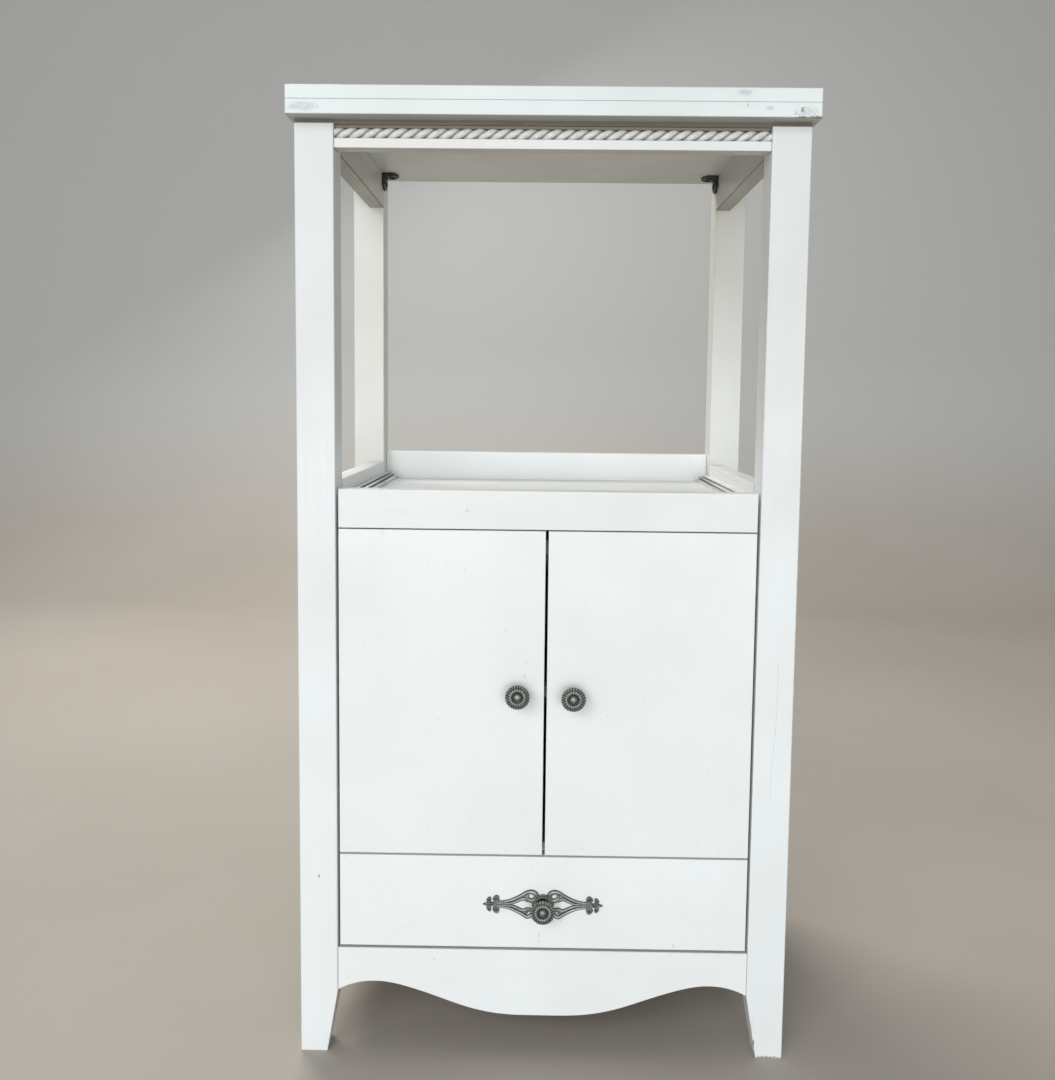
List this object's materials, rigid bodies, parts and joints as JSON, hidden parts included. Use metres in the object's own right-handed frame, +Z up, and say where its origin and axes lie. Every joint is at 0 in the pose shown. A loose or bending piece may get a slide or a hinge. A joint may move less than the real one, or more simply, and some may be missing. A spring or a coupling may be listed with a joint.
{
  "type": "microwave stand",
  "caption": "Tall painted microwave stand: open bay over a pull-out tray on slides, a two-door cupboard, a drawer with an ornate pull and a scalloped apron.",
  "frame": {"origin": "centre of the bounding box at floor level", "axes": "+Z up, -Y towards the front (doors and drawer), +X to the viewer's right"},
  "size_m": [0.571, 0.439, 1.091],
  "materials": {
    "cream_paint": "semi-gloss cream paint on wood",
    "plain_board": "pale satin board",
    "dark_edge": "raw matt edge",
    "pewter": "antique pewter, worn bright on the high points",
    "black_iron": "black",
    "zinc_steel": "bright zinc",
    "white_plastic": "matt"
  },
  "bodies": {
    "carcass": {"apron": "cream_paint", "back_lower_rail": "cream_paint", "back_panel": "plain_board", "back_rail": "cream_paint", "bottom_board": "plain_board", "bracket_left": "black_iron", "bracket_right": "black_iron", "cupboard_floor": "cream_paint", "cupboard_roof": "cream_paint", "cupboard_shelf": "cream_paint", "door_catch": "white_plastic", "drawer_cleats": "plain_board", "hinge_arms": "zinc_steel", "leg_front_left": "cream_paint", "leg_front_right": "cream_paint", "leg_rear_left": "cream_paint", "leg_rear_right": "cream_paint", "lower_rail_left": "cream_paint", "lower_rail_right": "cream_paint", "rope_moulding": "cream_paint", "shelf_pins": "zinc_steel", "shelf_rail_left": "cream_paint", "shelf_rail_right": "cream_paint", "side_panel_left": "cream_paint", "side_panel_right": "cream_paint", "slide_members_cabinet": "zinc_steel", "top_board": "cream_paint", "top_lipping_front": "cream_paint", "top_lipping_left": "cream_paint", "top_lipping_right": "cream_paint", "top_rail_front": "cream_paint", "top_rail_left": "cream_paint", "top_rail_right": "cream_paint", "top_spacer": "dark_edge"},
    "door_left": {"door_left": "cream_paint", "door_knob_left": "pewter", "hinge_cups_left": "zinc_steel", "striker_left": "zinc_steel"},
    "door_right": {"door_right": "cream_paint", "door_knob_right": "pewter", "hinge_cups_right": "zinc_steel", "striker_right": "zinc_steel"},
    "drawer": {"drawer_front": "cream_paint", "drawer_side_left": "plain_board", "drawer_side_right": "plain_board", "drawer_back": "plain_board", "drawer_bottom": "plain_board", "drawer_backplate": "pewter", "drawer_knob": "pewter"},
    "tray": {"tray_front": "cream_paint", "tray_floor": "cream_paint", "tray_battens": "cream_paint", "slide_members_tray": "zinc_steel"},
    "tray_slide_middles": {"slide_members_middle": "zinc_steel"}
  },
  "joints": [
    {"name": "door_left_hinge", "type": "hinge", "parent": "carcass", "child": "door_left", "pos_m": [-0.228, -0.191, 0.4266], "axis": [0, 0, -1], "range_deg": [0, 105]},
    {"name": "door_right_hinge", "type": "hinge", "parent": "carcass", "child": "door_right", "pos_m": [0.228, -0.191, 0.4266], "axis": [0, 0, 1], "range_deg": [0, 105]},
    {"name": "drawer_slide", "type": "slide", "parent": "carcass", "child": "drawer", "axis": [0, -1, 0], "range_m": [0, 0.28]},
    {"name": "tray_slide", "type": "slide", "parent": "carcass", "child": "tray", "axis": [0, -1, 0], "range_m": [0, 0.3]},
    {"name": "tray_slide_middle", "type": "slide", "parent": "carcass", "child": "tray_slide_middles", "axis": [0, -1, 0], "range_m": [0, 0.15]}
  ],
  "couplings": [
    {"joint": "tray_slide_middle", "follows": "tray_slide", "ratio": 0.5}
  ]
}
